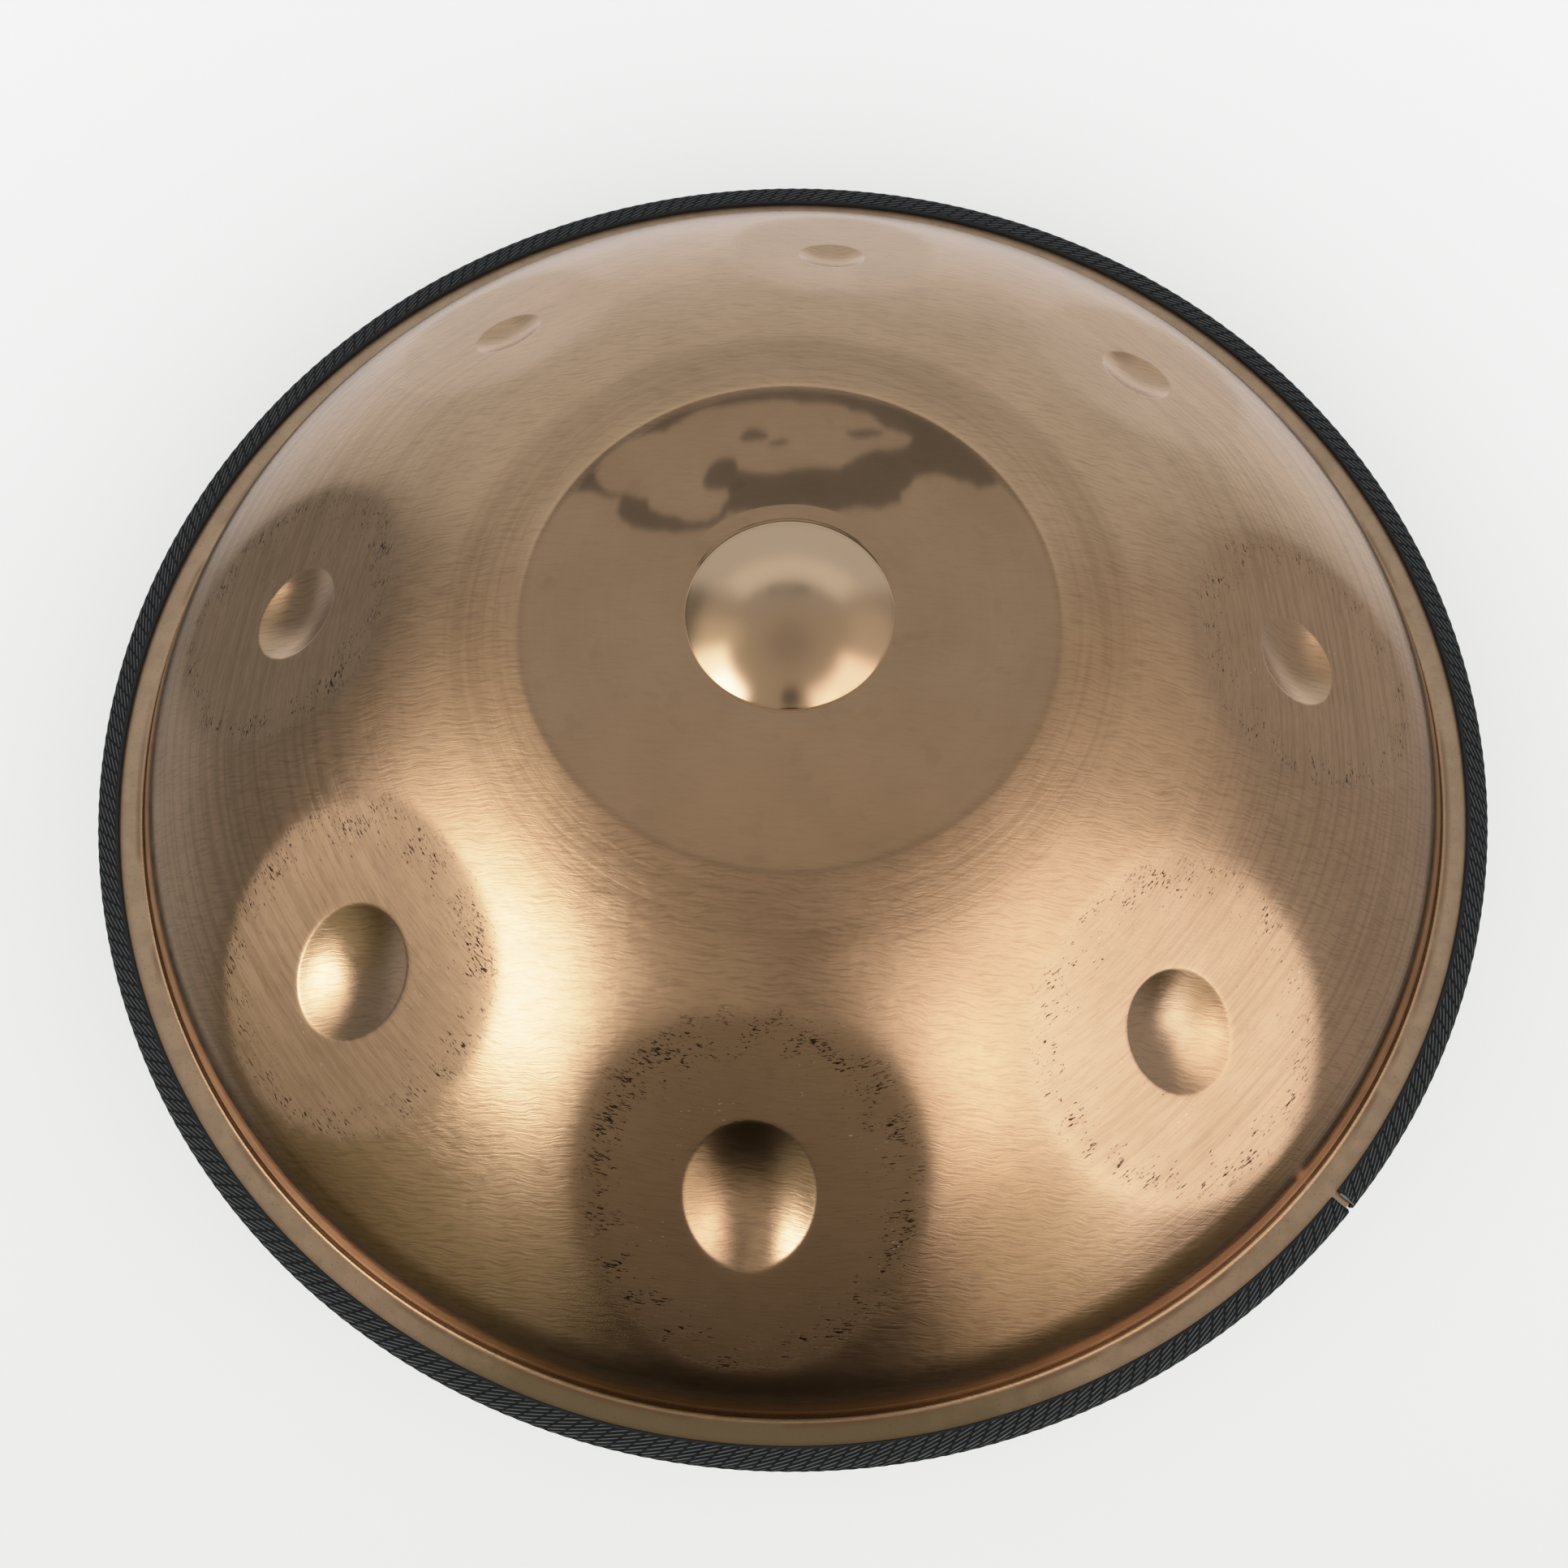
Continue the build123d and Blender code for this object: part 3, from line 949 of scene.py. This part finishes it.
def oval(n, p, q, middle_p, middle_q, half_p, half_q):
    """One in an oval's middle, nought on its edge and less outside it."""
    from_p = n.math("POWER", n.math("DIVIDE", n.math("SUBTRACT", p, middle_p), half_p), 2.0)
    from_q = n.math("POWER", n.math("DIVIDE", n.math("SUBTRACT", q, middle_q), half_q), 2.0)
    return n.math("SUBTRACT", 1.0, n.math("ADD", from_p, from_q))


def ceiling_gap(n, direction):
    """The dark gap behind the ceiling's ragged edge, with a torn scrap of ceiling in it. Its
    ovals lie on the ceiling, seen from below at a height of one: p to the right, q to the back."""
    x, y, z = n.split(direction)
    height = n.math("MAXIMUM", z, 0.05)
    p = n.math("DIVIDE", x, height)
    q = n.math("DIVIDE", y, height)
    place = n.join(p, q, 0.0)
    elsewhere = n.vector("ADD", place, (3.0, 5.0, 0.0))
    ragged_p = n.math("SUBTRACT", n.noise(place, 30.0, 2.0), 0.5)
    ragged_q = n.math("SUBTRACT", n.noise(elsewhere, 30.0, 2.0), 0.5)
    p = n.math("MULTIPLY_ADD", ragged_p, 0.025, p)
    q = n.math("MULTIPLY_ADD", ragged_q, 0.020, q)

    def joined(*ovals):
        """Ovals run together, each as its middle and its half sizes."""
        value = oval(n, p, q, *ovals[0])
        for sizes in ovals[1:]:
            value = n.math("MAXIMUM", value, oval(n, p, q, *sizes))
        return value

    gap = joined((0.0, 0.740, 0.260, 0.115), (-0.100, 0.630, 0.050, 0.028))
    bites = joined((0.135, 0.635, 0.035, 0.034), (-0.185, 0.630, 0.030, 0.030))
    scrap = joined(
        (-0.010, 0.717, 0.100, 0.047),
        (-0.120, 0.685, 0.052, 0.042),
        (-0.085, 0.645, 0.034, 0.031),
        (0.080, 0.711, 0.032, 0.014),
    )
    holes = joined(
        (-0.056, 0.668, 0.018, 0.018),
        (-0.030, 0.719, 0.016, 0.007),
        (-0.005, 0.708, 0.009, 0.004),
        (0.068, 0.718, 0.015, 0.006),
    )
    scrap = n.math("MINIMUM", scrap, n.times(holes, -1.0))
    filled = n.math("MAXIMUM", bites, scrap)
    gap = n.math("MINIMUM", gap, n.times(filled, -1.0))
    return n.times(n.ramp(gap, -0.04, 0.04), n.ramp(z, 0.3, 0.4))


# what the steel mirrors, each laid over the ones before, as sky_panel takes them:
# azimuth, half width, side edge, top, bottom, end edge, colour
studio_panels = [
    (266, 32, 12, 72, 190, 8, (0.008, 0.006, 0.003)),   # dark floor in front
    (162, 30, 10, 64, 190, 10, (0.20, 0.21, 0.22)),     # dim wall on the left
    (165, 20, 12, 99, 190, 6, (0.38, 0.40, 0.43)),      # table on the left
    (12, 36, 12, 60, 190, 10, (0.36, 0.36, 0.38)),      # wall on the right
    (88, 43, 10, 41, 190, 4, (0.80, 0.86, 0.93)),       # backdrop
    (88, 45, 10, 60, 190, 5, (0.60, 0.65, 0.72)),       # its shaded lower part
    (82, 46, 20, 98, 190, 8, (0.88, 0.93, 1.02)),       # paper
    (168, 16, 8, 30, 58, 8, (0.64, 0.63, 0.57)),        # spill beside the left soft box
    (220, 22, 12, 60, 92, 9, (0.35, 0.36, 0.29)),       # spill below it
    (201, 26, 8, 38, 64, 5, (2.2, 2.1, 2.2)),           # left soft box
    (212, 15, 8, 42, 62, 6, (4.8, 4.75, 5.1)),          # its bright core
    (8, 24, 10, 38, 66, 8, (0.56, 0.54, 0.52)),         # spill beside the right soft box
    (321, 32, 7, 32, 64, 6, (1.85, 1.70, 1.78)),        # right soft box
    (323, 16, 8, 56, 87, 7, (2.1, 2.05, 2.25)),         # the light below it
    (302, 10, 8, 60, 92, 9, (0.85, 0.80, 0.70)),        # spill beside that
    (303, 9, 7, 42, 61, 6, (2.6, 2.4, 2.5)),            # the right box's brighter end
]
ceiling_overhead = (0.31, 0.30, 0.295, 1.0)
ceiling_outer = (0.43, 0.415, 0.38, 1.0)
room_dark = (0.09, 0.08, 0.045, 1.0)
ceiling_behind = (95, 55, 25, 20, 60, 8, (0.40, 0.405, 0.425))
gap_dark = (0.02, 0.03, 0.04, 1.0)
lens_dark = (0.02, 0.02, 0.02, 1.0)
towards_lens = (0.0, -0.56, 0.83)
light_overhead = (4.0, 4.0, 3.95, 1.0)
backdrop_seen = (1.12, 1.14, 1.12, 1.0)


def make_studio_light():
    """Everything the steel mirrors: a grey ceiling, two soft boxes towards the front, a pale
    backdrop behind, paper on the table and a dark room in front."""
    world = bpy.data.worlds.new("studio")
    bpy.context.scene.world = world
    world.use_nodes = True
    world.cycles.sampling_method = "NONE"
    n = Nodes(world.node_tree)
    around = n.add("VectorRotate", rotation_type="Z_AXIS")
    n.put(around.inputs["Vector"], n.add("TexCoord").outputs["Generated"])
    around.inputs["Angle"].default_value = -camera_side
    direction = around.outputs[0]
    x, y, z = n.split(direction)
    azimuth = n.math("DEGREES", n.math("ARCTAN2", y, x))
    zenith = n.math("DEGREES", n.math("ARCCOSINE", z))
    sky = (azimuth, zenith)

    ceiling = n.tint(n.ramp(zenith, 4.0, 24.0), ceiling_overhead, ceiling_outer)
    total = n.tint(n.ramp(zenith, 55.0, 74.0), ceiling, room_dark)
    total = sky_panel(n, sky, total, *ceiling_behind)
    total = n.tint(n.times(ceiling_gap(n, direction), 0.62), total, gap_dark)
    for panel in studio_panels:
        total = sky_panel(n, sky, total, *panel)
    to_lens = n.vector("DOT_PRODUCT", direction, towards_lens)
    near_lens = n.ramp(to_lens, cos(radians(7)), cos(radians(3)))
    total = n.tint(n.times(near_lens, 0.9), total, lens_dark)

    # plain light for the paper and the rubber, stronger from above the camera
    ahead = n.math("MULTIPLY_ADD", y, -0.9, n.times(z, 0.44))
    soft = n.tint(n.ramp(ahead, 0.1, 0.95), grey(0.15), light_overhead)
    path = n.add("LightPath").outputs
    total = n.tint(path["Is Diffuse Ray"], total, soft)
    total = n.tint(path["Is Camera Ray"], total, backdrop_seen)
    seen = n.add("Background", None)
    n.put(seen.inputs[0], total)
    n.tree.links.new(seen.outputs[0], n.add("OutputWorld").inputs[0])


# the paper is painted darker towards the front, a painted shade, and glows a little, as painted
# light
paper_near_shaded = (0.63, 0.637, 0.625, 1.0)
paper_far = (0.83, 0.84, 0.835, 1.0)
paper_painted_glow = (0.97, 1.0, 0.99, 1.0)


def make_floor():
    """A pale floor, hidden from reflections because the studio light stands for it there."""
    reach = 6.0                         # metres
    mesh = bpy.data.meshes.new("floor")
    corners = [(-reach, -reach, 0), (reach, -reach, 0), (reach, reach, 0), (-reach, reach, 0)]
    mesh.from_pydata(corners, [], [(0, 1, 2, 3)])
    material, n = new_material("pale_paper")
    place = n.add("TexCoord").outputs["Object"]
    backward = n.math("MULTIPLY_ADD", n.noise(place, 3.0, 2.0), 0.1, n.split(place)[1])
    n.surface(
        # darker towards the front: painted shade
        Base_Color=n.tint(n.ramp(backward, -0.5, 0.6), paper_near_shaded, paper_far),
        Roughness=0.9,
        # a faint glow: painted light
        Emission_Color=paper_painted_glow,
        Emission_Strength=0.07,
    )
    mesh.materials.append(material)
    floor = bpy.data.objects.new("floor", mesh)
    bpy.context.scene.collection.objects.link(floor)
    floor.visible_glossy = False


# the scene's light and how bright it is shown, ending at the lightest that is told apart
film_curve = [(0.5, 0.5), (0.75, 0.697), (1.0, 0.816), (1.5, 0.932), (2.5, 0.99), (4.0, 1.0)]


def set_view():
    """The plain view transform, with highlights that roll off softly as film does."""
    view = bpy.context.scene.view_settings
    view.view_transform = "Standard"
    view.look = "None"
    view.use_curve_mapping = True
    mapping = view.curve_mapping
    mapping.clip_max_x = film_curve[-1][0]
    mapping.clip_max_y = film_curve[-1][0]
    mapping.use_clip = True
    curve = mapping.curves[3]
    curve.points[-1].location = film_curve[-1]
    for light, shown in film_curve[:-1]:
        curve.points.new(light, shown)
    for point in curve.points:
        point.handle_type = "AUTO_CLAMPED"
    mapping.update()


make_camera()
make_studio_light()
make_floor()
make_top_shell()
make_bottom_shell()
make_trim()
dress_node("rim_adhesive", glue())
dress_node("trim_clamp_strip", spring_steel())
set_view()
